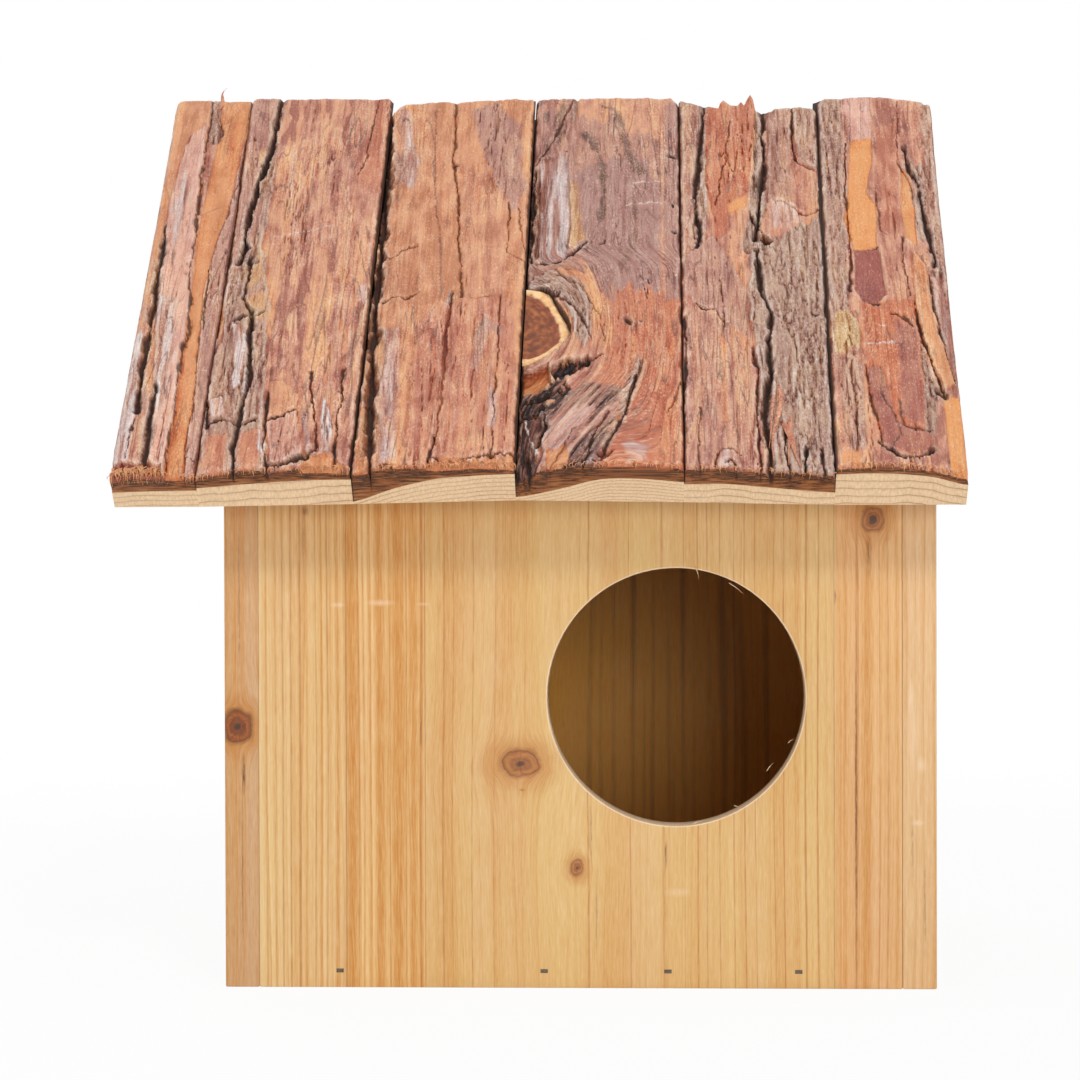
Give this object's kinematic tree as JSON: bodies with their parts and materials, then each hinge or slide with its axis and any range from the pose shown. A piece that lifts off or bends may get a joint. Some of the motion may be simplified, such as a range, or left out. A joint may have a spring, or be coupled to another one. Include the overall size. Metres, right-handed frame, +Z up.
{
  "type": "squirrel house",
  "caption": "Pine squirrel house with a round entrance in the front wall and a lift-off gable roof of waney bark slabs.",
  "frame": {"origin": "middle of the box's footprint, on the ground", "axes": "-Y out of the front wall with the entrance, +X to the right seen from the front, +Z up"},
  "size_m": [0.2454, 0.2506, 0.2789],
  "materials": {
    "wall_pine": "sanded",
    "slab_wood": "sawn",
    "bark": "rough",
    "brad_steel": "dull"
  },
  "bodies": {
    "box": {"left_wall": "wall_pine", "right_wall": "wall_pine", "front_wall": "wall_pine", "back_wall": "wall_pine", "floor_board": "wall_pine", "front_wall_brads": "brad_steel", "back_wall_brads": "brad_steel", "left_wall_brads": "brad_steel", "right_wall_brads": "brad_steel"},
    "roof": {"ridge_beam": "wall_pine", "front_batten": "wall_pine", "back_batten": "wall_pine", "front_batten_brads": "brad_steel", "back_batten_brads": "brad_steel", "roof_front_slab_1": "slab_wood", "roof_front_slab_2": "slab_wood", "roof_front_slab_3": "slab_wood", "roof_front_slab_4": "slab_wood", "roof_front_slab_5": "slab_wood", "roof_front_slab_6": "slab_wood", "roof_front_bark_1": "bark", "roof_front_bark_2": "bark", "roof_front_bark_3": "bark", "roof_front_bark_4": "bark", "roof_front_bark_5": "bark", "roof_front_bark_6": "bark", "roof_back_slab_1": "slab_wood", "roof_back_slab_2": "slab_wood", "roof_back_slab_3": "slab_wood", "roof_back_slab_4": "slab_wood", "roof_back_slab_5": "slab_wood", "roof_back_slab_6": "slab_wood", "roof_back_bark_1": "bark", "roof_back_bark_2": "bark", "roof_back_bark_3": "bark", "roof_back_bark_4": "bark", "roof_back_bark_5": "bark", "roof_back_bark_6": "bark"}
  },
  "joints": [
    {"name": "roof_lift", "type": "slide", "parent": "box", "child": "roof", "axis": [0, 0, 1], "range_m": [0, 0.13]}
  ]
}
